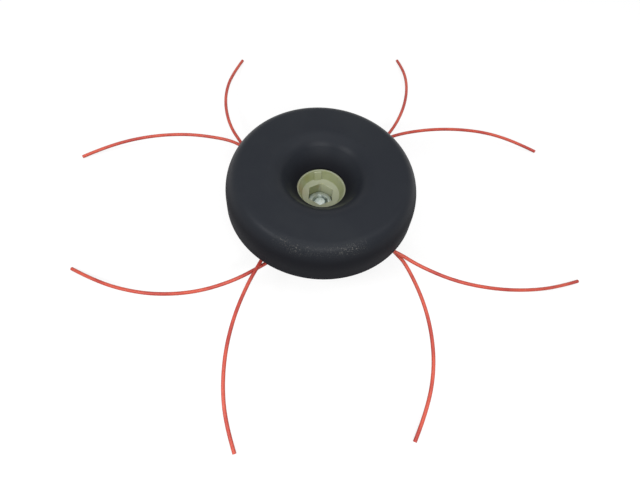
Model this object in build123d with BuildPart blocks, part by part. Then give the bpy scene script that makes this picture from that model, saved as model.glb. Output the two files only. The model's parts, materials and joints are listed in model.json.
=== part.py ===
# Fixed-line trimmer head, built as the real one is: a moulded glide dome screwed over
# a line drum, a natural nylon hub clamped between them by a nut on a double-ended
# stud, and four lengths of line looped round the hub, which leave as eight free ends.
#
# Millimetres. +Z is the spin axis and points out of the dome. The head lies on the
# skirt of its gearbox side, so z = 0 is the surface that it rests on.
import os
from math import asin, cos, degrees, pi, radians, sin, sqrt, tan

from build123d import *

os.makedirs("parts", exist_ok=True)

# Glide dome
dome_radius = 70.0
dome_wall = 3.0
dome_height = 32.0          # from the rim to the flat top
rim_round = 1.2
shoulder_in = 11.5          # the shoulder is a quarter ellipse, this wide
shoulder_down = 21.0        # and this deep
mouth_radius = 18.0
mouth_rise = 13.3           # the lip of the mouth above the rim
lip_thickness = 2.0
funnel_slope = 52.0         # degrees from level
funnel_roll = 15.0          # radius where the funnel rolls over into the top
socket_wall = 2.5           # collar under the mouth that holds the hub
socket_depth = 9.0

# Line drum, the moulded bottom half
drum_inset = 12.0           # the drum's wall stands this far inside the dome's rim
drum_wall = 2.5
drum_floor = 3.0
drum_corner = 4.0
lid_drop = 0.4              # the drum's flange lies this far above the rim
lid_thickness = 2.6
lid_gap = 0.3
skirt_outer = 34.0
skirt_wall = 4.0
skirt_round = 1.0
gusset_count = 8
gusset_thickness = 2.4
gusset_foot = 1.5           # height at which a gusset leaves the skirt

# Stud, washer and nut
thread_radius = 5.0
stud_standoff = 1.0         # the stud's tip above the resting surface
stud_reach = 10.0           # thread below the collar, for the gearbox
stud_chamfer = 1.0
stud_recess = 0.4           # the stud's inner end below the nut's top
collar_flats = 22.0
collar_thickness = 3.5
collar_gap = 0.2
washer_radius = 14.0
washer_thickness = 1.5
washer_gap = 0.3
nut_flats = 17.0
nut_height = 8.0
nut_bevel_angle = 30.0      # degrees
nut_turn = 20.0             # degrees, the way that the hexagons are turned
thread_gap = 0.05
bolt_gap = 0.3

# Hub of natural nylon
hub_gap = 0.3               # between the hub and the dome's socket
hub_seat_gap = 0.1
hub_base_radius = 28.0
hub_base_thickness = 2.2
hub_floor = 3.5
cup_band = 1.1              # what shows of the hub's flat top inside the mouth
cup_taper = 2.9             # the cup's wall runs in by this much
cup_depth = 6.6
cup_rib_width = 5.4
cup_rib_stand = 1.2         # the ribs' feet stand this far inside the cup's foot
cup_rib_drop = 0.8          # the ribs' heads lie this far below the hub's top
cup_rib_lean = 2.9          # a rib's face runs in by this much from head to foot
cup_rib_count = 2
cup_rib_start = 92.0        # degrees, where the first rib stands
pocket_gap = 0.3            # round the nut
lug_count = 4
lug_width = 6.0
lug_depth = 3.0
lug_height = 1.9
lug_gap = 0.3

# Line
line_diameter = 2.7
groove_gap = 0.1            # between the line and its groove
groove_land = 0.5           # flange left between two grooves
groove_lip = 0.85           # the flanges stand this far past the groove's rounding
groove_overrun = 1.0        # how far the groove's cutter passes the flanges
wrap_radius = 19.2          # centre of the line round the hub
first_land = 0.75
crossing_reach = 1.0        # where the two lines of one exit cross, outside the rim
exit_standoff = 2.0         # the free end of a line starts this far outside the drum
exit_angle = 45.0           # degrees, an exit lies this far round from a loop's open end
line_lead = 10.0            # straight stretch outside the exit

# Eyelets in the drum's wall
eyelet_bore = 4.6
eyelet_wall = 0.6
eyelet_flange = 0.6
eyelet_flange_thickness = 0.6
eyelet_gap = 0.05
eyelet_inset = 0.4          # the tube's inner end past the wall
eyelet_clearance = 0.3      # between the topmost eyelets and the drum's flange

# Screws that hold the drum to the dome
screw_count = 4
screw_offset = 4.4          # from the drum's wall to the screws
screw_radius = 1.8
screw_length = 12.0
screw_head_radius = 3.2
screw_head_height = 2.2
screw_head_chamfer = 0.7
screw_hole_gap = 0.4
screw_slot_width = 0.9
screw_slot_length = 3.8
screw_slot_depth = 1.1
boss_radius = 3.5

# Radii worked out from the sizes above
dome_inner = dome_radius - dome_wall
drum_radius = dome_radius - drum_inset
drum_inner = drum_radius - drum_wall
lid_radius = dome_inner - lid_gap
screw_circle = drum_radius + screw_offset
gusset_end = drum_radius - drum_corner
groove_radius = line_diameter / 2 + groove_gap
hub_radius = wrap_radius + groove_radius + groove_lip
socket_inner = hub_radius + hub_gap
socket_outer = socket_inner + socket_wall
cup_edge_radius = mouth_radius - cup_band
cup_foot_radius = cup_edge_radius - cup_taper
cup_rib_foot = cup_foot_radius - cup_rib_stand
cup_rib_head = cup_rib_foot + cup_rib_lean
crossing_radius = dome_radius + crossing_reach
line_exit_radius = drum_radius + exit_standoff
eyelet_outer = eyelet_bore / 2 + eyelet_wall
eyelet_hole = eyelet_outer + eyelet_gap
eyelet_flange_radius = eyelet_outer + eyelet_flange
exit_cut = 3 * drum_wall    # length of the cutter for an exit

# Heights from the resting surface up to the floor that the hub stands on
collar_bottom = stud_standoff + stud_reach
collar_top = collar_bottom + collar_thickness
washer_top = collar_top + washer_thickness
drum_bottom = collar_bottom
drum_floor_top = drum_bottom + drum_floor
hub_bottom = drum_floor_top
nut_bottom = washer_top + hub_floor
nut_top = nut_bottom + nut_height

# Four loops of line, one above the other, each in its own groove. Each is named by
# the way that its open end faces, in degrees about the spin axis.
groove_pitch = 2 * groove_radius + groove_land
first_groove = hub_bottom + hub_base_thickness + first_land + groove_radius
loop_facings = [90, 180, 270, 0]
loop_heights = [first_groove + groove_pitch * i for i in range(len(loop_facings))]
leg_lean = degrees(asin(wrap_radius / crossing_radius))

# Heights above the loops: the drum's flange clears the topmost eyelets
lid_bottom = loop_heights[-1] + eyelet_flange_radius + eyelet_clearance
lid_top = lid_bottom + lid_thickness
rim_height = lid_bottom - lid_drop
dome_top = rim_height + dome_height
lip_top = rim_height + mouth_rise
lip_under = lip_top - lip_thickness
hub_top = lip_under - hub_seat_gap
ledge_height = hub_top - cup_depth
cup_rib_top = hub_top - cup_rib_drop


def polar(radius, angle, height=0.0):
    """A point by its radius and its angle in degrees."""
    return Vector(radius * cos(radians(angle)), radius * sin(radians(angle)), height)


def leg_heading(facing, side):
    """The way that one leg of a loop leaves the hub; side is 1 or -1."""
    return facing + side * (exit_angle - leg_lean)


def leg_point(facing, side, height, radius):
    """The point of a leg at a given radius from the spin axis."""
    heading = leg_heading(facing, side)
    foot = polar(wrap_radius, heading + side * 90, height)
    return foot + polar(sqrt(radius**2 - wrap_radius**2), heading)


# Glide dome: one turned profile, with a boss inside for each screw
slope_x = cos(radians(funnel_slope))
slope_z = sin(radians(funnel_slope))
roll_end_height = dome_top - funnel_roll * (1 - slope_x)
roll_end_radius = mouth_radius + (roll_end_height - lip_top) * slope_x / slope_z
roll_radius = roll_end_radius + funnel_roll * slope_z
shoulder_radius = dome_radius - shoulder_in
shoulder_height = dome_top - shoulder_down
inner_roll = funnel_roll - dome_wall
under_radius = roll_radius - inner_roll * slope_z
under_height = dome_top - funnel_roll + inner_roll * slope_x
socket_join = under_height - (under_radius - socket_outer) * slope_z / slope_x
roll_middle = radians(90 + funnel_slope / 2)

with BuildPart() as glide_dome:
    with BuildSketch(Plane.XZ) as dome_section:
        with BuildLine():
            Polyline(
                (dome_inner, shoulder_height), (dome_inner, rim_height),
                (dome_radius, rim_height), (dome_radius, shoulder_height),
            )
            EllipticalCenterArc(
                (shoulder_radius, shoulder_height), shoulder_in, shoulder_down,
                start_angle=0, arc_size=90,
            )
            Line((shoulder_radius, dome_top), (roll_radius, dome_top))
            ThreePointArc(
                (roll_radius, dome_top),
                (roll_radius + funnel_roll * cos(roll_middle),
                 dome_top - funnel_roll + funnel_roll * sin(roll_middle)),
                (roll_end_radius, roll_end_height),
            )
            Polyline(
                (roll_end_radius, roll_end_height), (mouth_radius, lip_top),
                (mouth_radius, lip_under), (socket_inner, lip_under),
                (socket_inner, lip_under - socket_depth),
                (socket_outer, lip_under - socket_depth),
                (socket_outer, socket_join), (under_radius, under_height),
            )
            ThreePointArc(
                (under_radius, under_height),
                (roll_radius + inner_roll * cos(roll_middle),
                 dome_top - funnel_roll + inner_roll * sin(roll_middle)),
                (roll_radius, dome_top - dome_wall),
            )
            Line((roll_radius, dome_top - dome_wall),
                 (shoulder_radius, dome_top - dome_wall))
            EllipticalCenterArc(
                (shoulder_radius, shoulder_height),
                shoulder_in - dome_wall, shoulder_down - dome_wall,
                start_angle=0, arc_size=90,
            )
        make_face()
    revolve(axis=Axis.Z)
    rim_edges = (
        glide_dome.edges().filter_by(GeomType.CIRCLE)
        .filter_by(lambda e: abs(e.center().Z - rim_height) < 0.01)
    )
    fillet(rim_edges, rim_round)

    # Room under the shell, which keeps the bosses inside it
    with BuildSketch(Plane.XZ, mode=Mode.PRIVATE) as under_section:
        with BuildLine():
            Polyline(
                (dome_inner + dome_wall / 2, shoulder_height),
                (dome_inner + dome_wall / 2, lid_top),
                (socket_outer - socket_wall / 2, lid_top),
                (socket_outer - socket_wall / 2, socket_join),
                (under_radius, under_height + dome_wall / 2),
                (roll_radius, dome_top - dome_wall / 2),
                (shoulder_radius, dome_top - dome_wall / 2),
            )
            EllipticalCenterArc(
                (shoulder_radius, shoulder_height),
                shoulder_in - dome_wall / 2, shoulder_down - dome_wall / 2,
                start_angle=0, arc_size=90,
            )
        make_face()
    with BuildPart(mode=Mode.PRIVATE) as boss_room:
        add(under_section.sketch)
        revolve(axis=Axis.Z)
    with BuildPart(mode=Mode.PRIVATE) as bosses:
        with BuildSketch(Plane.XY.offset(lid_top)):
            with PolarLocations(screw_circle, screw_count):
                Circle(boss_radius)
                Rectangle(dome_radius - dome_wall / 2 - screw_circle, boss_radius,
                          align=(Align.MIN, Align.CENTER))
        extrude(amount=dome_top - lid_top)
        add(boss_room.part, mode=Mode.INTERSECT)
    add(bosses.part)
    with Locations(Plane.XY.offset(lid_top)):
        with PolarLocations(screw_circle, screw_count):
            Cylinder(screw_radius + thread_gap, screw_length,
                     align=(Align.CENTER, Align.CENTER, Align.MIN), mode=Mode.SUBTRACT)
glide_dome.part.label = "glide_dome"
export_step(glide_dome.part, "parts/glide_dome.step")

# Line drum: floor, wall with the exits, flange that closes the dome, and the skirt
# round the gearbox recess with its gussets
with BuildPart() as line_drum:
    with BuildSketch(Plane.XZ) as drum_section:
        with BuildLine():
            Polyline(
                (0, drum_floor_top), (drum_inner, drum_floor_top),
                (drum_inner, lid_top), (lid_radius, lid_top), (lid_radius, lid_bottom),
                (drum_radius, lid_bottom), (drum_radius, drum_bottom + drum_corner),
            )
            RadiusArc((drum_radius, drum_bottom + drum_corner),
                      (drum_radius - drum_corner, drum_bottom), drum_corner)
            Polyline(
                (drum_radius - drum_corner, drum_bottom), (skirt_outer, drum_bottom),
                (skirt_outer, 0), (skirt_outer - skirt_wall, 0),
                (skirt_outer - skirt_wall, drum_bottom), (0, drum_bottom),
                (0, drum_floor_top),
            )
        make_face()
    revolve(axis=Axis.Z)
    skirt_edges = (
        line_drum.edges().filter_by(GeomType.CIRCLE)
        .filter_by(lambda e: abs(e.center().Z) < 0.01)
    )
    fillet(skirt_edges, skirt_round)

    with BuildPart(mode=Mode.PRIVATE) as gusset:
        with BuildSketch(Plane.XZ):
            with BuildLine():
                Polyline(
                    (skirt_outer - skirt_wall / 2, drum_bottom + drum_floor / 2),
                    (skirt_outer - skirt_wall / 2, gusset_foot),
                    (skirt_outer, gusset_foot),
                    (gusset_end, drum_bottom),
                    (gusset_end, drum_bottom + drum_floor / 2),
                    close=True,
                )
            make_face()
        extrude(amount=gusset_thickness / 2, both=True)
    with PolarLocations(0, gusset_count, start_angle=180 / gusset_count):
        add(gusset.part)

    with BuildSketch(Plane.XY.offset(drum_floor_top)):
        with PolarLocations(hub_base_radius - lug_depth, lug_count):
            Rectangle(lug_depth + 2 * lug_gap, lug_width, align=(Align.MIN, Align.CENTER))
    extrude(amount=lug_height)
    with BuildSketch(Plane.XY.offset(drum_bottom)):
        RegularPolygon(collar_flats / 2 + collar_gap, 6, major_radius=False,
                       rotation=nut_turn)
    extrude(amount=drum_floor, mode=Mode.SUBTRACT)
    with Locations(Plane.XY.offset(lid_bottom)):
        with PolarLocations(screw_circle, screw_count):
            Cylinder(screw_radius + screw_hole_gap, lid_thickness,
                     align=(Align.CENTER, Align.CENTER, Align.MIN), mode=Mode.SUBTRACT)
    for facing, height in zip(loop_facings, loop_heights):
        for side in (1, -1):
            middle = leg_point(facing, side, height, drum_radius - drum_wall / 2)
            outward = Vector(middle.X, middle.Y, 0).normalized()
            with Locations(Plane(origin=middle, z_dir=outward)):
                Cylinder(eyelet_hole, exit_cut, mode=Mode.SUBTRACT)
line_drum.part.label = "line_drum"
export_step(line_drum.part, "parts/line_drum.step")

# Hub: a spool with one groove for each loop below, an open cup above, and a pocket
# that holds the nut
with BuildPart() as line_hub:
    with BuildSketch(Plane.XY.offset(hub_bottom)):
        Circle(hub_base_radius)
    extrude(amount=hub_base_thickness)
    with BuildSketch(Plane.XY.offset(hub_bottom)):
        Circle(hub_radius)
    extrude(amount=hub_top - hub_bottom)

    with BuildSketch(Plane.XZ):
        for height in loop_heights:
            with Locations((wrap_radius, height)):
                Circle(groove_radius)
                Rectangle(hub_radius + groove_overrun - wrap_radius, 2 * groove_radius,
                          align=(Align.MIN, Align.CENTER))
    revolve(axis=Axis.Z, mode=Mode.SUBTRACT)

    with BuildPart(mode=Mode.PRIVATE) as cup_rib:
        with BuildSketch(Plane.XZ):
            with BuildLine():
                Polyline((cup_rib_foot, ledge_height), (cup_rib_head, cup_rib_top),
                         (cup_edge_radius, cup_rib_top),
                         (cup_edge_radius, ledge_height), close=True)
            make_face()
        extrude(amount=cup_rib_width / 2, both=True)
    with BuildPart(mode=Mode.PRIVATE) as cup:
        with BuildSketch(Plane.XZ):
            with BuildLine():
                Polyline((0, ledge_height), (cup_foot_radius, ledge_height),
                         (cup_edge_radius, hub_top), (0, hub_top), close=True)
            make_face()
        revolve(axis=Axis.Z)
        with PolarLocations(0, cup_rib_count, start_angle=cup_rib_start):
            add(cup_rib.part, mode=Mode.SUBTRACT)
    add(cup.part, mode=Mode.SUBTRACT)

    with BuildSketch(Plane.XY.offset(nut_bottom)):
        RegularPolygon(nut_flats / 2 + pocket_gap, 6, major_radius=False,
                       rotation=nut_turn)
    extrude(amount=ledge_height - nut_bottom, mode=Mode.SUBTRACT)
    with BuildSketch(Plane.XY.offset(hub_bottom)):
        Circle(washer_radius + washer_gap)
    extrude(amount=washer_top - hub_bottom, mode=Mode.SUBTRACT)
    with BuildSketch(Plane.XY.offset(washer_top)):
        Circle(thread_radius + bolt_gap)
    extrude(amount=hub_floor, mode=Mode.SUBTRACT)
    with BuildSketch(Plane.XY.offset(hub_bottom)):
        with PolarLocations(hub_base_radius - lug_depth - lug_gap, lug_count):
            Rectangle(2 * lug_depth, lug_width + 2 * lug_gap,
                      align=(Align.MIN, Align.CENTER))
    extrude(amount=hub_base_thickness, mode=Mode.SUBTRACT)
line_hub.part.label = "line_hub"
export_step(line_hub.part, "parts/line_hub.step")

# Double-ended stud with a hexagonal collar, which the drum's floor keeps from turning
with BuildPart() as arbor_stud:
    with BuildSketch(Plane.XY.offset(stud_standoff)):
        Circle(thread_radius)
    extrude(amount=nut_top - stud_recess - stud_standoff)
    chamfer(arbor_stud.edges().filter_by(GeomType.CIRCLE), stud_chamfer)
    with BuildSketch(Plane.XY.offset(collar_bottom)):
        RegularPolygon(collar_flats / 2, 6, major_radius=False, rotation=nut_turn)
    extrude(amount=collar_thickness)
arbor_stud.part.label = "arbor_stud"
export_step(arbor_stud.part, "parts/arbor_stud.step")

with BuildPart() as thrust_washer:
    with BuildSketch(Plane.XY.offset(collar_top)):
        Circle(washer_radius)
        Circle(thread_radius + bolt_gap, mode=Mode.SUBTRACT)
    extrude(amount=washer_thickness)
thrust_washer.part.label = "thrust_washer"
export_step(thrust_washer.part, "parts/thrust_washer.step")

# Nut with chamfered corners and a countersunk bore
nut_corner = nut_flats / sqrt(3)
nut_bevel = (nut_corner - nut_flats / 2) * tan(radians(nut_bevel_angle))
with BuildPart() as hub_nut:
    with BuildSketch(Plane.XY.offset(nut_bottom)):
        RegularPolygon(nut_flats / 2, 6, major_radius=False, rotation=nut_turn)
    extrude(amount=nut_height)
    with BuildSketch(Plane.XZ):
        with BuildLine():
            Polyline(
                (thread_radius + thread_gap, nut_bottom),
                (nut_flats / 2, nut_bottom), (nut_corner, nut_bottom + nut_bevel),
                (nut_corner, nut_top - nut_bevel), (nut_flats / 2, nut_top),
                (thread_radius + stud_chamfer, nut_top),
                (thread_radius + thread_gap, nut_top - stud_chamfer),
                close=True,
            )
        make_face()
    revolve(axis=Axis.Z, mode=Mode.INTERSECT)
hub_nut.part.label = "hub_nut"
export_step(hub_nut.part, "parts/hub_nut.step")

# Screws with a cross slot, heads below the drum's flange
with BuildPart() as drum_screws:
    with BuildSketch(Plane.XY.offset(lid_bottom)):
        with PolarLocations(screw_circle, screw_count):
            Circle(screw_head_radius)
    extrude(amount=-screw_head_height)
    chamfer(drum_screws.edges().group_by(Axis.Z)[0], screw_head_chamfer)
    with BuildSketch(Plane.XY.offset(lid_bottom)):
        with PolarLocations(screw_circle, screw_count):
            Circle(screw_radius)
    extrude(amount=screw_length)
    with BuildSketch(Plane.XY.offset(lid_bottom - screw_head_height)):
        with PolarLocations(screw_circle, screw_count):
            Rectangle(screw_slot_length, screw_slot_width)
            Rectangle(screw_slot_width, screw_slot_length)
    extrude(amount=screw_slot_depth, mode=Mode.SUBTRACT)
drum_screws.part.label = "drum_screws"
export_step(drum_screws.part, "parts/drum_screws.step")

# Eyelets, two at each exit, square to the drum's wall
eyelet_start = drum_inner - eyelet_inset
eyelet_count = 0
for facing, height in zip(loop_facings, loop_heights):
    for side in (1, -1):
        eyelet_count += 1
        middle = leg_point(facing, side, height, drum_radius - drum_wall / 2)
        outward = Vector(middle.X, middle.Y, 0).normalized()
        axis_foot = Vector(0, 0, height)
        with BuildPart() as eyelet:
            with BuildSketch(Plane(origin=axis_foot + outward * eyelet_start,
                                   z_dir=outward)):
                Circle(eyelet_outer)
                Circle(eyelet_bore / 2, mode=Mode.SUBTRACT)
            extrude(amount=drum_radius - eyelet_start)
            with BuildSketch(Plane(origin=axis_foot + outward * drum_radius,
                                   z_dir=outward)):
                Circle(eyelet_flange_radius)
                Circle(eyelet_bore / 2, mode=Mode.SUBTRACT)
            extrude(amount=eyelet_flange_thickness)
        eyelet.part.label = f"exit_eyelet_{eyelet_count}"
        export_step(eyelet.part, f"parts/exit_eyelet_{eyelet_count}.step")

# Line round the hub: two straight legs and the wrap between them
for index, (facing, height) in enumerate(zip(loop_facings, loop_heights)):
    start = leg_point(facing, 1, height, line_exit_radius)
    end = leg_point(facing, -1, height, line_exit_radius)
    first_touch = leg_point(facing, 1, height, wrap_radius)
    last_touch = leg_point(facing, -1, height, wrap_radius)
    with BuildPart() as line_loop:
        with BuildLine() as loop_path:
            Line(start, first_touch)
            ThreePointArc(first_touch, polar(wrap_radius, facing + 180, height),
                          last_touch)
            Line(last_touch, end)
        with BuildSketch(Plane(origin=start, z_dir=loop_path.line % 0)):
            Circle(line_diameter / 2)
        sweep(path=loop_path.line)
    line_loop.part.label = f"line_loop_{index + 1}"
    export_step(line_loop.part, f"parts/line_loop_{index + 1}.step")

# Free ends of the line, as they curl and come down to the surface. Each route starts
# with the exit and a short straight lead; the rest of its points are given here, under
# the loop's number and the side of the loop.
end_routes = {
    (1, 1): [(-55, 68, 17), (-65, 91.5, 15), (-68.5, 121, 12), (-65.5, 148, 8.5),
             (-57.5, 171.5, 4.5), (-50, 188, 1.45)],
    (1, -1): [(63, 64.5, 17), (80, 86, 15), (93, 111, 12), (101.5, 137.5, 8),
              (104, 163, 4.5), (101.5, 180, 1.45)],
    (2, 1): [(-68.5, -58.5, 20.5), (-95, -63.5, 17.5), (-124, -61, 14),
             (-150.5, -51.5, 9.5), (-172.5, -38.5, 5), (-187, -27.5, 1.45)],
    (2, -1): [(-57.5, 69, 20.5), (-90, 82.5, 17), (-117.5, 88, 13.5),
              (-145.5, 88.5, 9.5), (-172, 84.5, 4.5), (-188.5, 79, 1.45)],
    (3, 1): [(56, -58, 24), (63.5, -87, 21), (65, -114, 16.5), (61, -139, 11.5),
             (51, -162, 6), (41.5, -177, 1.45)],
    (3, -1): [(-58.5, -62.5, 23.5), (-69.5, -85, 20.5), (-77, -109, 16),
              (-80, -133.5, 11), (-78.5, -155, 6), (-74.5, -171, 1.45)],
    (4, 1): [(68.5, 62, 26.5), (98.5, 69.5, 23), (129, 73, 18), (159.5, 71.5, 12.5),
             (186, 64.5, 6), (203.5, 56, 1.45)],
    (4, -1): [(65.5, -63, 26.5), (91, -76, 23), (120.5, -82.5, 18.5),
              (149.5, -83, 12.5), (176.5, -79, 6), (194.5, -74, 1.45)],
}
corner_share = 0.45         # of the shorter run that an arc may take


def corner_radii(points):
    """The largest tangent arc that the two runs at each point allow."""
    radii = []
    for before, point, after in zip(points, points[1:], points[2:]):
        turn = radians((point - before).get_angle(after - point))
        shorter = min((point - before).length, (after - point).length)
        radii.append(corner_share * shorter / tan(turn / 2))
    return radii


for index, (facing, height) in enumerate(zip(loop_facings, loop_heights)):
    for letter, side in (("a", 1), ("b", -1)):
        exit_point = leg_point(facing, side, height, line_exit_radius)
        lead_point = exit_point + polar(line_lead, leg_heading(facing, side))
        chosen = [Vector(*point) for point in end_routes[(index + 1, side)]]
        route = [exit_point, lead_point] + chosen
        radii = corner_radii(route)
        name = f"line_end_{index + 1}{letter}"
        with BuildPart() as line_end:
            with BuildLine() as end_path:
                FilletPolyline(*route, radius=radii)
            with BuildSketch(Plane(origin=exit_point, z_dir=end_path.line % 0)):
                Circle(line_diameter / 2)
            sweep(path=end_path.line)
        line_end.part.label = name
        export_step(line_end.part, f"parts/{name}.step")
        section = pi * line_diameter**2 / 4
        path_length = end_path.wire().length
        ratio = line_end.part.volume / (section * path_length)
        print(f"{name}: length {path_length:.1f} mm, volume over section times "
              f"length {ratio:.5f}")
        print("  exit", [round(v, 2) for v in exit_point], "lead",
              [round(v, 2) for v in lead_point])
        print("  radii", [round(r) for r in radii])
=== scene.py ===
# Looks of a fixed-line trimmer head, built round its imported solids. Metres, +Z up.
import json
import math

import bpy
from mathutils import Matrix, Quaternion, Vector


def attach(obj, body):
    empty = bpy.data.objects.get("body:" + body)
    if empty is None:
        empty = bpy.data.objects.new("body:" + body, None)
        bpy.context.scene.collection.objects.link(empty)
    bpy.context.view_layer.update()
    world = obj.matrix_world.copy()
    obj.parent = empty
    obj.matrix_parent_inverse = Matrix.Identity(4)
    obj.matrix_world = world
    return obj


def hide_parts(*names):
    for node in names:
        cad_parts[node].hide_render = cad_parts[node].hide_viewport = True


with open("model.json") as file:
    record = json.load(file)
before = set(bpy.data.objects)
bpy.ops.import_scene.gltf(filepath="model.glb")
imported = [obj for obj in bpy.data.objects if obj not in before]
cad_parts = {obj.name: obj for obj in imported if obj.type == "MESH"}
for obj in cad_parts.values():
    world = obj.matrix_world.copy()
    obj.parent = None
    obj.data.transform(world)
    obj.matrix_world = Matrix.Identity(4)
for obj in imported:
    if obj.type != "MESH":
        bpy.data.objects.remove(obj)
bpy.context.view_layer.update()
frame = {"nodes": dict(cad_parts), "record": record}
nodes = frame["nodes"]
print("frame loaded:", len(nodes), "nodes")


# Shader nodes
class Value:  # a socket that takes + - * / and ** as numbers do
    def __init__(self, shader, socket):
        self.shader = shader
        self.socket = socket

    def math(self, operation, first, second):
        return self.shader.add("ShaderNodeMath", {"operation": operation}, {0: first, 1: second})

    def __add__(self, other):
        return self.math("ADD", self, other)

    def __radd__(self, other):
        return self.math("ADD", other, self)

    def __sub__(self, other):
        return self.math("SUBTRACT", self, other)

    def __rsub__(self, other):
        return self.math("SUBTRACT", other, self)

    def __mul__(self, other):
        return self.math("MULTIPLY", self, other)

    def __rmul__(self, other):
        return self.math("MULTIPLY", other, self)

    def __truediv__(self, other):
        return self.math("DIVIDE", self, other)

    def __pow__(self, other):
        return self.math("POWER", self, other)


class Nodes:  # a node tree, and the nodes added to it
    def __init__(self, tree):
        self.tree = tree

    def add(self, kind, settings=None, inputs=None, output=0):
        node = self.tree.nodes.new(kind)
        for name, value in (settings or {}).items():
            setattr(node, name, value)
        for name, value in (inputs or {}).items():
            self.feed(node.inputs[name], value)
        return Value(self, node.outputs[output])

    def feed(self, socket, value):
        if isinstance(value, Value):
            self.tree.links.new(value.socket, socket)
        else:
            socket.default_value = value

    def background(self):  # 1 for rays that show a background: seen, mirrored or through glass
        rays = 0.0
        for ray in ("Is Camera Ray", "Is Glossy Ray", "Is Transmission Ray"):
            rays = rays + self.add("ShaderNodeLightPath", output=ray)
        return self.add("ShaderNodeClamp", inputs={"Value": rays})


class Shader(Nodes):  # one material, its patterns and its surface
    def __init__(self, name, **constants):
        self.material = bpy.data.materials.new(name)
        self.material.use_nodes = True
        super().__init__(self.material.node_tree)
        self.surface = self.tree.nodes["Principled BSDF"]
        self.place = self.add("ShaderNodeTexCoord", output="Object")
        self.x, self.y, self.z = self.parts(self.place)
        self.set(**constants)

    def set(self, **sockets):  # sockets of the surface, by name with _ for a space
        for name, value in sockets.items():
            self.feed(self.surface.inputs[name.replace("_", " ")], value)

    def parts(self, vector):  # its X, Y and Z
        return [self.add("ShaderNodeSeparateXYZ", inputs={0: vector}, output=axis)
                for axis in "XYZ"]

    def radius(self):  # distance from the spin axis
        return (self.x * self.x + self.y * self.y) ** 0.5

    def noise(self, scale, detail, vector=None):
        inputs = {"Vector": vector or self.place, "Scale": scale, "Detail": detail}
        return self.add("ShaderNodeTexNoise", inputs=inputs)

    def rings(self, spacing, waver, detail):  # noise drawn out round the spin axis
        radius = self.radius()
        return self.noise(1.0, detail, self.stretched(
            (radius + self.z) * spacing, self.x / radius * waver, self.y / radius * waver))

    def step(self, value, low, high):  # 0 below low, 1 above high, smooth between
        inputs = {"Value": value, "From Min": low, "From Max": high}
        return self.add("ShaderNodeMapRange", {"interpolation_type": "SMOOTHSTEP"}, inputs)

    def band(self, value, low, middle, high):  # 1 at the middle, 0 at both sides
        return self.step(value, low, middle) * (1.0 - self.step(value, middle, high))

    def blend(self, factor, first, second):
        # In a colour mix the factor is socket 0, the colours are 6 and 7, the result is output 2
        return self.add("ShaderNodeMix", {"data_type": "RGBA"},
                        {0: factor, 6: first, 7: second}, 2)

    def stretched(self, x, y, z):  # a place made of three values
        return self.add("ShaderNodeCombineXYZ", inputs={0: x, 1: y, 2: z})

    def spot(self, place, reach):  # 1 at the place, 0 from reach on
        away = self.add("ShaderNodeVectorMath", {"operation": "DISTANCE"},
                        {0: self.place, 1: place}, "Value")
        return 1.0 - self.step(away, 0.0, reach)

    def facing(self):  # the way that the surface itself faces
        return self.add("ShaderNodeNewGeometry", output="Normal")

    def rounded(self, radius):  # normals as if the edges had this radius
        return self.add("ShaderNodeBevel", {"samples": 6}, {"Radius": radius}, "Normal")

    def edges(self, rounded, low=0.02, high=0.22):  # 1 along edges, 0 on open faces
        alike = self.add("ShaderNodeVectorMath", {"operation": "DOT_PRODUCT"},
                         {0: rounded, 1: self.facing()}, "Value")
        return self.step(1.0 - alike, low, high)

    def bump(self, height, distance, under=None):
        inputs = {"Height": height, "Distance": distance, "Strength": 1.0}
        if under is not None:
            inputs["Normal"] = under
        return self.add("ShaderNodeBump", inputs=inputs)


def paint(red, green, blue):  # a colour by its screen values, 0 to 255
    def linear(level):
        share = level / 255
        return share / 12.92 if share <= 0.04045 else ((share + 0.055) / 1.055) ** 2.4
    return (linear(red), linear(green), linear(blue), 1.0)


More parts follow.
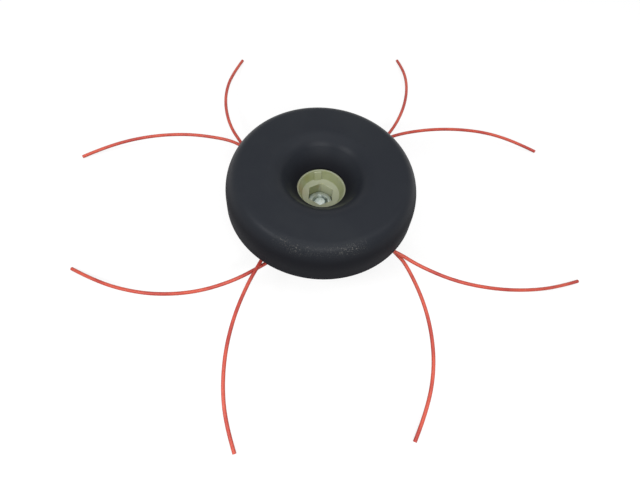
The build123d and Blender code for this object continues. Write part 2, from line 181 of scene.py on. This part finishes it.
# Finishes
def domePlastic():
    look = {
        # The darkest colour in this table is a painted shade for the side and the funnel's depth
        "base": paint(35, 38, 44), "pale": paint(39, 42, 47), "paintedShade": paint(19, 20, 25),
        "worn": paint(60, 62, 64), "scuff": paint(134, 132, 126), "ior": 1.20,
        "rough": 0.31, "freshRough": 0.34, "cloudRough": 0.08, "ringRough": 0.06,
        "grainHeight": 0.00003, "ringHeight": 0.00003, "rimRadius": 0.0006, "rimWear": 0.5,
        # Noises by their scale, with the levels that are cut out of them
        "clouds": 26.0, "cloudCut": (0.35, 0.7), "patches": 42.0, "patchCut": (0.44, 0.66),
        "dots": 1500.0, "dotCut": (0.54, 0.70), "flakes": 820.0, "flakeCut": (0.62, 0.72),
        "grain": 2600.0, "ringSpacing": 900.0, "ringWaver": 3.0,
        "scratchSpacing": 1500.0, "scratchWaver": 34.0, "scratchCut": (0.60, 0.72),
        # Radii and heights between which the finish changes
        # The funnel's radii, its drop and the heights after them set where the painted shade of
        # the side and the funnel's depth begins
        "funnel": (0.036, 0.048), "funnelDrop": 0.0048, "unshadedTop": (0.0505, 0.0640),
        "shoulder": (0.0590, 0.0642, 0.0684), "crest": (0.046, 0.054),
        # Wear on the shoulder: shares of each mark, and places with their reach
        "flakeShare": 1.3, "speckShare": 0.10, "patchShare": 0.26, "scratchShare": 0.12,
        "wornAll": 0.04, "wornPlaces": [
            ((-0.0300, -0.0575, 0.0560), 0.022), ((-0.0127, -0.0637, 0.0560), 0.020),
            ((0.0084, -0.0644, 0.0560), 0.020), ((0.0440, 0.0480, 0.0560), 0.020)],
    }
    shader = Shader("domePlastic", IOR=look["ior"])
    radius = shader.radius()
    rings = shader.rings(look["ringSpacing"], look["ringWaver"], 3.0)
    clouds = shader.noise(look["clouds"], 3.0)
    patches = shader.step(shader.noise(look["patches"], 3.0), *look["patchCut"])
    # Light specks and short scratches on the shoulder, where the head glides on the ground
    specks = (shader.step(shader.noise(look["dots"], 1.0), *look["dotCut"])
              + look["flakeShare"] * shader.step(shader.noise(look["flakes"], 1.0),
                                                 *look["flakeCut"]))
    scratches = shader.step(shader.rings(look["scratchSpacing"], look["scratchWaver"], 2.0),
                            *look["scratchCut"])
    crest = shader.band(radius, *look["shoulder"]) * shader.step(shader.z, *look["crest"])
    rubbed = look["wornAll"]
    for place, reach in look["wornPlaces"]:
        rubbed = rubbed + shader.spot(place, reach)
    scuffs = crest * rubbed * (specks * (look["speckShare"] + look["patchShare"] * patches)
                               + scratches * patches * look["scratchShare"])
    # Painted shade: the side and the funnel's depth get a darker base colour and a rougher
    # surface, while the top keeps the paler base
    inside = 1.0 - shader.step(radius, *look["funnel"])
    unshadedTop = shader.step(shader.z + inside * look["funnelDrop"], *look["unshadedTop"])
    soft = shader.rounded(look["rimRadius"])
    base = shader.blend(shader.step(clouds, *look["cloudCut"]), look["base"], look["pale"])
    # Painted shade: the darker colour on the side and in the funnel's depth
    base = shader.blend(unshadedTop, look["paintedShade"], base)
    base = shader.blend(shader.edges(soft) * patches * look["rimWear"], base, look["worn"])
    grain = shader.bump(shader.noise(look["grain"], 2.0), look["grainHeight"], soft)
    shader.set(Base_Color=shader.blend(scuffs, base, look["scuff"]),
               Roughness=(look["rough"] + look["freshRough"] * (1.0 - unshadedTop)
                          + look["cloudRough"] * clouds + look["ringRough"] * rings),
               Normal=shader.bump(rings * crest, look["ringHeight"], grain))
    return shader.material


def drumPlastic():
    look = {
        "base": paint(27, 29, 32), "pale": paint(36, 38, 41), "worn": paint(74, 76, 78),
        "ior": 1.3, "rough": 0.45, "cloudRough": 0.12, "edgeRadius": 0.0005, "clouds": 40.0,
        "patches": 120.0, "patchCut": (0.42, 0.62), "edgeWear": 0.45,
        "foot": (0.0002, 0.0016), "footWear": 0.6, "grain": 2200.0, "grainHeight": 0.00004,
    }
    shader = Shader("drumPlastic", IOR=look["ior"])
    clouds = shader.noise(look["clouds"], 3.0)
    soft = shader.rounded(look["edgeRadius"])
    rubbed = shader.edges(soft) * shader.step(shader.noise(look["patches"], 3.0),
                                              *look["patchCut"])
    foot = 1.0 - shader.step(shader.z, *look["foot"])  # the skirt's foot, rubbed by use
    base = shader.blend(clouds, look["base"], look["pale"])
    base = shader.blend(rubbed * look["edgeWear"], base, look["worn"])
    grain = shader.bump(shader.noise(look["grain"], 2.0), look["grainHeight"], soft)
    shader.set(Base_Color=shader.blend(foot * clouds * look["footWear"], base, look["worn"]),
               Roughness=look["rough"] + look["cloudRough"] * clouds, Normal=grain)
    return shader.material


def naturalNylon():
    tan, yellow = paint(150, 130, 92), paint(136, 134, 74)
    look = {
        # Olive also serves as a painted shade on steep walls
        "cream": paint(158, 162, 137), "olive": paint(140, 146, 108),
        # The clear colour below is painted light, the pale tone of the pocket's right-hand walls
        "clear": paint(186, 190, 160),
        "ior": 1.4, "depth": 0.35, "depthScale": 0.0025, "depthRadius": (1.0, 0.9, 0.55),
        "rough": 0.42, "cloudRough": 0.15, "edgeRadius": 0.0007, "clouds": 90.0,
        "grain": 1500.0, "grainHeight": 0.00003, "steep": (0.25, 0.75), "oliveCut": (0.35, 0.75),
        # The pocket's side with painted light: from the left to the right in X, and within this
        # radius
        "paintedLightFrom": (-0.001, 0.002), "paintedLightWithin": (0.0098, 0.0106), "paintedLightShare": 0.85,
        # Stains by place, reach, share and colour
        "stains": [((-0.0145, 0.0030, 0.0400), 0.0075, 0.55, tan),
                   ((-0.0090, 0.0125, 0.0405), 0.0045, 0.6, yellow),
                   ((-0.0010, 0.0092, 0.0335), 0.0030, 0.5, tan)],
    }
    shader = Shader("naturalNylon", IOR=look["ior"], Subsurface_Weight=look["depth"],
                    Subsurface_Scale=look["depthScale"], Subsurface_Radius=look["depthRadius"])
    clouds = shader.noise(look["clouds"], 3.0)
    soft = shader.rounded(look["edgeRadius"])
    # Painted shade: steep walls lean to the darker olive, mixed with random cloudy tone; painted
    # light: the pocket's right-hand walls get the pale clear colour
    upright = 1.0 - shader.parts(shader.facing())[2]
    steep = shader.step(upright, *look["steep"])
    paintedLitSide = (shader.step(shader.x, *look["paintedLightFrom"])
                 * (1.0 - shader.step(shader.radius(), *look["paintedLightWithin"])))
    shadedWalls = steep * (1.0 - look["paintedLightShare"] * paintedLitSide)
    base = shader.blend(shader.step((clouds + shadedWalls) * 0.5, *look["oliveCut"]),
                        look["cream"], look["olive"])
    # Painted light on the pocket's right-hand walls
    base = shader.blend(steep * paintedLitSide, base, look["clear"])
    for place, reach, share, colour in look["stains"]:
        base = shader.blend(shader.spot(place, reach) * share, base, colour)
    grain = shader.bump(shader.noise(look["grain"], 2.0), look["grainHeight"], soft)
    shader.set(Base_Color=base, Roughness=look["rough"] + look["cloudRough"] * clouds,
               Normal=grain)
    return shader.material


def zincPlate():
    look = {
        "bright": paint(196, 204, 200), "dull": paint(134, 148, 143), "gold": paint(190, 186, 156),
        "rough": 0.30, "cloudRough": 0.22, "edgeRadius": 0.00015,
        "clouds": 420.0, "cloudCut": (0.30, 0.75), "dullShare": 0.7,
        "tints": 160.0, "tintCut": (0.45, 0.70), "goldShare": 0.3,
        "lineScale": (900.0, 5200.0, 5200.0), "lineHeight": 0.00001,
    }
    shader = Shader("zincPlate", Metallic=1.0)
    alongX, alongY, alongZ = look["lineScale"]
    clouds = shader.noise(look["clouds"], 3.0)
    tint = shader.step(shader.noise(look["tints"], 2.0), *look["tintCut"])
    soft = shader.rounded(look["edgeRadius"])
    lines = shader.noise(1.0, 2.0, shader.stretched(shader.x * alongX, shader.y * alongY,
                                                    shader.z * alongZ))
    base = shader.blend(shader.step(clouds, *look["cloudCut"]) * look["dullShare"],
                        look["bright"], look["dull"])
    shader.set(Base_Color=shader.blend(tint * look["goldShare"], base, look["gold"]),
               Roughness=look["rough"] + look["cloudRough"] * clouds,
               Normal=shader.bump(lines, look["lineHeight"], soft))
    return shader.material


def cuttingLine():
    look = {
        "red": paint(208, 84, 62), "deep": paint(182, 58, 46), "rough": 0.34, "cloudRough": 0.14,
        "depth": 0.30, "depthScale": 0.0015, "depthRadius": (1.0, 0.35, 0.25),
        "clouds": 60.0, "cloudCut": (0.35, 0.7), "grain": 1300.0, "grainHeight": 0.00002,
    }
    shader = Shader("cuttingLine", Subsurface_Weight=look["depth"],
                    Subsurface_Scale=look["depthScale"], Subsurface_Radius=look["depthRadius"])
    clouds = shader.noise(look["clouds"], 3.0)
    shader.set(Base_Color=shader.blend(shader.step(clouds, *look["cloudCut"]), look["red"],
                                       look["deep"]),
               Roughness=look["rough"] + look["cloudRough"] * clouds,
               Normal=shader.bump(shader.noise(look["grain"], 2.0), look["grainHeight"]))
    return shader.material


finishes = {
    "dome_moulding": domePlastic(),
    "drum_moulding": drumPlastic(),
    "natural_nylon": naturalNylon(),
    "zinc_steel": zincPlate(),
    "cutting_line": cuttingLine(),
}
print("finishes made:", len(finishes))


# Camera, as the photograph was taken
shot = {"place": (-0.05225, -0.23963, 0.37295), "aim": (-0.004986, -0.03729, 0.03200),
        "roll": 6.932, "lens": 31.136, "sensor": 36.0, "nearest": 0.01, "farthest": 50.0}
camera = bpy.data.objects.new("camera", bpy.data.cameras.new("camera"))
bpy.context.scene.collection.objects.link(camera)
camera.data.lens = shot["lens"]
camera.data.sensor_width = shot["sensor"]
camera.data.clip_start = shot["nearest"]
camera.data.clip_end = shot["farthest"]
camera.location = shot["place"]
camera.rotation_mode = "QUATERNION"
sight = Vector(shot["aim"]) - Vector(shot["place"])
camera.rotation_quaternion = (sight.to_track_quat("-Z", "Y")
                              @ Quaternion((0, 0, 1), math.radians(shot["roll"])))
bpy.context.scene.camera = camera
print("camera placed")


# Free ends of the line: each length of it is wrapped round the hub and leaves at two exits
line = {"diameter": 0.0027, "wrapRadius": 0.0192, "crossingRadius": 0.071,
        "exitRadius": 0.060, "lead": 0.010, "exitAngle": 45.0, "roundSteps": 5, "alongSteps": 16}
loopFacings = [90, 180, 270, 0]
loopHeights = [0.0184, 0.0218, 0.0252, 0.0286]
# Points from the exit's lead to the tip, which lies on the floor
endRoutes = {
    "1a": [(-0.055, 0.068, 0.017), (-0.065, 0.0915, 0.015), (-0.0685, 0.121, 0.012),
           (-0.0655, 0.148, 0.0085), (-0.0575, 0.1715, 0.0045), (-0.050, 0.188, 0.00145)],
    "1b": [(0.063, 0.0645, 0.017), (0.080, 0.086, 0.015), (0.093, 0.111, 0.012),
           (0.1015, 0.1375, 0.008), (0.104, 0.163, 0.0045), (0.1015, 0.180, 0.00145)],
    "2a": [(-0.0685, -0.0585, 0.0205), (-0.095, -0.0635, 0.0175), (-0.124, -0.061, 0.014),
           (-0.1505, -0.0515, 0.0095), (-0.1725, -0.0385, 0.005), (-0.187, -0.0275, 0.00145)],
    "2b": [(-0.0575, 0.069, 0.0205), (-0.090, 0.0825, 0.017), (-0.1175, 0.088, 0.0135),
           (-0.1455, 0.0885, 0.0095), (-0.172, 0.0845, 0.0045), (-0.1885, 0.079, 0.00145)],
    "3a": [(0.056, -0.058, 0.024), (0.0635, -0.087, 0.021), (0.065, -0.114, 0.0165),
           (0.061, -0.139, 0.0115), (0.051, -0.162, 0.006), (0.0415, -0.177, 0.00145)],
    "3b": [(-0.0585, -0.0625, 0.0235), (-0.0695, -0.085, 0.0205), (-0.077, -0.109, 0.016),
           (-0.080, -0.1335, 0.011), (-0.0785, -0.155, 0.006), (-0.0745, -0.171, 0.00145)],
    "4a": [(0.0685, 0.062, 0.0265), (0.0985, 0.0695, 0.023), (0.129, 0.073, 0.018),
           (0.1595, 0.0715, 0.0125), (0.186, 0.0645, 0.006), (0.2035, 0.056, 0.00145)],
    "4b": [(0.0655, -0.063, 0.0265), (0.091, -0.076, 0.023), (0.1205, -0.0825, 0.0185),
           (0.1495, -0.083, 0.0125), (0.1765, -0.079, 0.006), (0.1945, -0.074, 0.00145)],
}


def polar(radius, degrees, height):
    angle = math.radians(degrees)
    return Vector((radius * math.cos(angle), radius * math.sin(angle), height))


def legHeading(facing, side):  # the way that a line leaves the hub
    lean = math.degrees(math.asin(line["wrapRadius"] / line["crossingRadius"]))
    return facing + side * (line["exitAngle"] - lean)


def legPoint(facing, side, height, radius):  # where that line passes a radius
    heading = legHeading(facing, side)
    along = math.sqrt(radius ** 2 - line["wrapRadius"] ** 2)
    return polar(line["wrapRadius"], heading + side * 90, height) + polar(along, heading, 0)


def lineEnd(name, facing, side, height):
    leave = legPoint(facing, side, height, line["exitRadius"])
    lead = leave + polar(line["lead"], legHeading(facing, side), 0)
    points = [leave, lead] + [Vector(point) for point in endRoutes[name]]
    curve = bpy.data.curves.new("lineEnd" + name, "CURVE")
    curve.dimensions = "3D"
    curve.bevel_depth = line["diameter"] / 2
    curve.bevel_resolution = line["roundSteps"]
    curve.use_fill_caps = True
    curve.resolution_u = line["alongSteps"]
    spline = curve.splines.new("NURBS")
    spline.points.add(len(points) - 1)
    for spot, point in zip(spline.points, points):
        spot.co = (*point, 1.0)
    spline.order_u = 3
    spline.use_endpoint_u = True
    piece = bpy.data.objects.new("lineEnd" + name, curve)
    bpy.context.scene.collection.objects.link(piece)
    curve.materials.append(finishes["cutting_line"])
    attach(piece, "root")
    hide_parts("line_end_" + name)


exits = [(str(number) + letter, facing, side, height)
         for number, (facing, height) in enumerate(zip(loopFacings, loopHeights), 1)
         for letter, side in (("a", 1), ("b", -1))]
for name, facing, side, height in exits:
    lineEnd(name, facing, side, height)
print("line ends laid:", len(exits))


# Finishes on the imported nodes
slotOfNode = {row["node"]: row["material_slot"] for row in frame["record"]["subparts"]}
for name, node in nodes.items():
    for materialSlot in node.material_slots:
        materialSlot.material = finishes[slotOfNode[name]]
print("finishes laid on the nodes")


# Modelling
def chosen(*pieces):
    bpy.ops.object.select_all(action="DESELECT")
    for piece in pieces:
        piece.select_set(True)
    bpy.context.view_layer.objects.active = pieces[0]
    return pieces[0]


def modify(piece, kind, **settings):  # a modifier, applied at once
    chosen(piece)
    modifier = piece.modifiers.new(kind.lower(), kind)
    for name, value in settings.items():
        setattr(modifier, name, value)
    bpy.ops.object.modifier_apply(modifier=modifier.name)


def chain(name, points):  # edges from point to point, ready to be turned
    bpy.ops.object.select_all(action="DESELECT")
    bpy.ops.mesh.primitive_plane_add(size=0.001)
    piece = bpy.context.object
    piece.name = name
    bpy.ops.object.mode_set(mode="EDIT")
    bpy.ops.mesh.select_all(action="SELECT")
    bpy.ops.mesh.merge(type="CENTER")  # the plane shrinks to one point
    bpy.ops.transform.translate(value=points[0])
    for before, after in zip(points, points[1:]):
        step = [end - start for start, end in zip(before, after)]
        bpy.ops.mesh.extrude_vertices_move(TRANSFORM_OT_translate={"value": step})
    bpy.ops.object.mode_set(mode="OBJECT")
    return piece


def closeUp(reach=0.000002):  # in edit mode: seams merged and faces turned outwards
    bpy.ops.mesh.select_all(action="SELECT")
    bpy.ops.mesh.remove_doubles(threshold=reach)
    bpy.ops.mesh.normals_make_consistent(inside=False)


def turned(name, outline, steps):  # an outline of radii and heights, spun round Z
    piece = chain(name, [(radius, 0.0, height) for radius, height in outline])
    bpy.ops.object.mode_set(mode="EDIT")
    bpy.ops.mesh.select_all(action="SELECT")
    bpy.ops.mesh.spin(steps=steps, angle=2 * math.pi, center=(0, 0, 0), axis=(0, 0, 1))
    closeUp()
    bpy.ops.object.mode_set(mode="OBJECT")
    return piece


def copied(piece, name, matrix):  # a copy with its own mesh, its place in its mesh
    twin = bpy.data.objects.new(name, piece.data.copy())
    twin.data.transform(matrix)
    bpy.context.scene.collection.objects.link(twin)
    return twin


def joined(name, pieces):
    whole = chosen(*pieces)
    bpy.ops.object.join()
    whole.name = name
    return whole


def finished(piece, slotName, smoothAngle, *replaced):
    chosen(piece)
    bpy.ops.object.transform_apply(location=True, rotation=True, scale=True)
    bpy.ops.object.shade_smooth_by_angle(angle=math.radians(smoothAngle))
    piece.data.materials.clear()
    piece.data.materials.append(finishes[slotName])
    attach(piece, "root")
    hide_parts(*replaced)


# Stud, threaded left-handed at both ends, with the hexagonal collar between them
stud = {"radius": 0.0050, "root": 0.00423, "pitch": 0.00125, "chamfer": 0.0015,
        "low": 0.0010, "collarLow": 0.0110, "collarHigh": 0.0145, "high": 0.0271,
        "flats": 0.0220, "turn": 20.0, "bevel": 0.0004, "bevelFrom": 30, "steps": 56,
        "smooth": 35, "spareTurns": 3, "cutReach": 0.0000001}


def threadedEnd(name, low, high, free):  # free is the end that sticks out, low or high
    pitch, root, radius = stud["pitch"], stud["root"], stud["radius"]
    top = high + 1.5 * pitch
    # One pitch of the thread's outline, downwards: root, flank, crest, flank
    outline = [(root, 0, top), (root, 0, top - pitch / 4), (radius, 0, top - pitch * 9 / 16),
               (radius, 0, top - pitch * 11 / 16), (root, 0, top - pitch)]
    piece = chain(name, outline)
    turns = math.ceil((high - low) / pitch) + stud["spareTurns"]
    modify(piece, "SCREW", axis="Z", screw_offset=-pitch, iterations=turns,
           steps=stud["steps"], render_steps=stud["steps"])
    bpy.ops.object.mode_set(mode="EDIT")
    closeUp()
    for level, way in ((high, 1), (low, -1)):  # the default threshold leaves the caps open
        bpy.ops.mesh.select_all(action="SELECT")
        bpy.ops.mesh.bisect(plane_co=(0, 0, level), plane_no=(0, 0, way), clear_outer=True,
                            use_fill=True, threshold=stud["cutReach"])
    closeUp()
    bpy.ops.object.mode_set(mode="OBJECT")
    for vertex in piece.data.vertices:  # the chamfer of the free end
        limit = radius - stud["chamfer"] + abs(vertex.co.z - free)
        reach = math.hypot(vertex.co.x, vertex.co.y)
        if reach > limit:
            vertex.co.x *= limit / reach
            vertex.co.y *= limit / reach
    return piece


sunk = stud["pitch"] / 2  # how deep each thread ends in the collar
lowerEnd = threadedEnd("lowerThread", stud["low"], stud["collarLow"] + sunk, stud["low"])
upperEnd = threadedEnd("upperThread", stud["collarHigh"] - sunk, stud["high"], stud["high"])
collarTurn = math.radians(stud["turn"] - 30)  # 30 from the middle of a side to its corner
bpy.ops.object.select_all(action="DESELECT")
bpy.ops.mesh.primitive_cylinder_add(
    vertices=6, radius=stud["flats"] / math.sqrt(3), depth=stud["collarHigh"] - stud["collarLow"],
    location=(0, 0, (stud["collarLow"] + stud["collarHigh"]) / 2), rotation=(0, 0, collarTurn))
collar = bpy.context.object
modify(collar, "BEVEL", width=stud["bevel"], segments=3, limit_method="ANGLE",
       angle_limit=math.radians(stud["bevelFrom"]))
finished(joined("threadedStud", [collar, lowerEnd, upperEnd]), "zinc_steel", stud["smooth"],
         "arbor_stud")
print("stud threaded")


# Eyelets with rolled lips, one where each line end leaves the drum
eyelet = {"bore": 0.0023, "tube": 0.0029, "lip": 0.0035, "inner": 0.0551, "middle": 0.05675,
          "wall": 0.0580, "roll": 0.0006, "steps": 40, "smooth": 50}
bore, tube, lip = eyelet["bore"], eyelet["tube"], eyelet["lip"]
inner, wall, roll = eyelet["inner"], eyelet["wall"], eyelet["roll"]
# Up the bore, over the rolled lip and back down the tube
eyeletOutline = [
    (bore, inner), (bore, wall - roll * 0.2), (bore + roll * 0.1, wall + roll * 0.45),
    (bore + roll * 0.45, wall + roll * 0.88), (tube, wall + roll),
    (lip - roll * 0.45, wall + roll * 0.88), (lip - roll * 0.1, wall + roll * 0.45),
    (lip, wall + roll * 0.05), (tube, wall + roll * 0.05), (tube, inner), (bore, inner)]
pattern = turned("eyeletPattern", eyeletOutline, eyelet["steps"])
for number, (name, facing, side, height) in enumerate(exits, 1):
    middle = legPoint(facing, side, height, eyelet["middle"])
    outward = Vector((middle.x, middle.y, 0.0)).normalized()
    matrix = (Matrix.Translation((0, 0, height))
              @ outward.to_track_quat("Z", "X").to_matrix().to_4x4())
    finished(copied(pattern, "eyelet" + name, matrix), "zinc_steel", eyelet["smooth"],
             "exit_eyelet_" + str(number))
bpy.data.objects.remove(pattern)
print("eyelets set:", len(exits))


# Pan-head screws with a cross recess, which hold the drum to the dome
screw = {"circle": 0.0624, "seat": 0.0324, "head": 0.0032, "headHeight": 0.0022,
         "shank": 0.0018, "length": 0.0120, "point": 0.0012, "count": 4, "turn": 27.0,
         "slotLength": 0.0038, "slotWidth": 0.0009, "slotDepth": 0.0011, "slotBevel": 0.0002,
         # The head's dome, as shares of its radius and steps back from its face
         "dome": [(0.40, 0.00002), (0.70, 0.00016), (0.88, 0.00050), (0.98, 0.00110),
                  (1.00, 0.00165)],
         "steps": 36, "smooth": 40}
seat, head, face = screw["seat"], screw["head"], screw["seat"] - screw["headHeight"]
screwOutline = ([(0, face)] + [(head * share, face + back) for share, back in screw["dome"]]
                + [(head, seat), (screw["shank"], seat),
                   (screw["shank"], seat + screw["length"] - screw["point"]),
                   (0, seat + screw["length"])])
pattern = turned("screwPattern", screwOutline, screw["steps"])
for turn in (0, 90):
    bpy.ops.object.select_all(action="DESELECT")
    bpy.ops.mesh.primitive_cube_add(
        size=1, location=(0, 0, face), rotation=(0, 0, math.radians(turn)),
        scale=(screw["slotLength"], screw["slotWidth"], 2 * screw["slotDepth"]))
    cutter = bpy.context.object
    modify(cutter, "BEVEL", width=screw["slotBevel"], segments=1, limit_method="NONE")
    modify(pattern, "BOOLEAN", operation="DIFFERENCE", object=cutter, solver="EXACT")
    bpy.data.objects.remove(cutter)
screws = []
for number in range(screw["count"]):
    matrix = (Matrix.Translation(polar(screw["circle"], 360 / screw["count"] * number, 0))
              @ Matrix.Rotation(math.radians(screw["turn"] * (number + 1)), 4, "Z"))
    screws.append(copied(pattern, "coverScrew" + str(number), matrix))
bpy.data.objects.remove(pattern)
finished(joined("coverScrews", screws), "zinc_steel", screw["smooth"], "drum_screws")
print("screws set:", screw["count"])


# Floor, which shows as white and keeps the object's shadow
white = (1.0, 1.0, 1.0, 1.0)
floorLook = {"size": 40.0, "drop": 0.0002, "level": 0.26, "lift": 0.80, "rough": 0.9}
bpy.ops.object.select_all(action="DESELECT")
bpy.ops.mesh.primitive_plane_add(size=floorLook["size"], location=(0, 0, -floorLook["drop"]))
floor = bpy.context.object
floor.name = "floor"
paper = Shader("paper", Base_Color=(floorLook["level"],) * 3 + (1.0,),
               Roughness=floorLook["rough"], Specular_IOR_Level=0.0, Emission_Color=white)
paper.set(Emission_Strength=paper.background() * floorLook["lift"])
floor.data.materials.append(paper.material)
print("floor laid")


# World, white where it is seen, with a weak fill on the object
sky = {"seen": 1.0, "fill": 0.25}
world = bpy.data.worlds.new("studio")
bpy.context.scene.world = world
world.use_nodes = True
studio = Nodes(world.node_tree)
background = studio.tree.nodes["Background"]
studio.feed(background.inputs["Color"], white)
studio.feed(background.inputs["Strength"],
            sky["fill"] + (sky["seen"] - sky["fill"]) * studio.background())
print("world set")


# Lamps, aimed at the origin: azimuth and elevation in degrees, power in watts
lamps = {
    "frontWindow": {"azimuth": -88.0, "elevation": 43.0, "distance": 1.0,
                    "wide": 0.62, "high": 0.18, "power": 3.8},
    "overhead": {"azimuth": -60.0, "elevation": 86.0, "distance": 1.3,
                 "wide": 1.20, "high": 1.20, "power": 6.2},
    "leftWindow": {"azimuth": -157.0, "elevation": 42.0, "distance": 1.0,
                   "wide": 0.34, "high": 0.24, "power": 3.0},
    "rightWindow": {"azimuth": -15.0, "elevation": 50.0, "distance": 1.2,
                    "wide": 0.50, "high": 0.50, "power": 1.2},
}
for name, lamp in lamps.items():
    light = bpy.data.lights.new(name, "AREA")
    light.shape = "RECTANGLE"
    light.size = lamp["wide"]
    light.size_y = lamp["high"]
    light.energy = lamp["power"]
    rise = math.radians(lamp["elevation"])
    away = lamp["distance"] * math.cos(rise)
    place = polar(away, lamp["azimuth"], lamp["distance"] * math.sin(rise))
    holder = bpy.data.objects.new(name, light)
    holder.location = place
    holder.rotation_mode = "QUATERNION"
    holder.rotation_quaternion = (-place).to_track_quat("-Z", "Y")
    bpy.context.scene.collection.objects.link(holder)
bpy.context.scene.view_settings.view_transform = "Standard"
print("lamps set:", len(lamps))
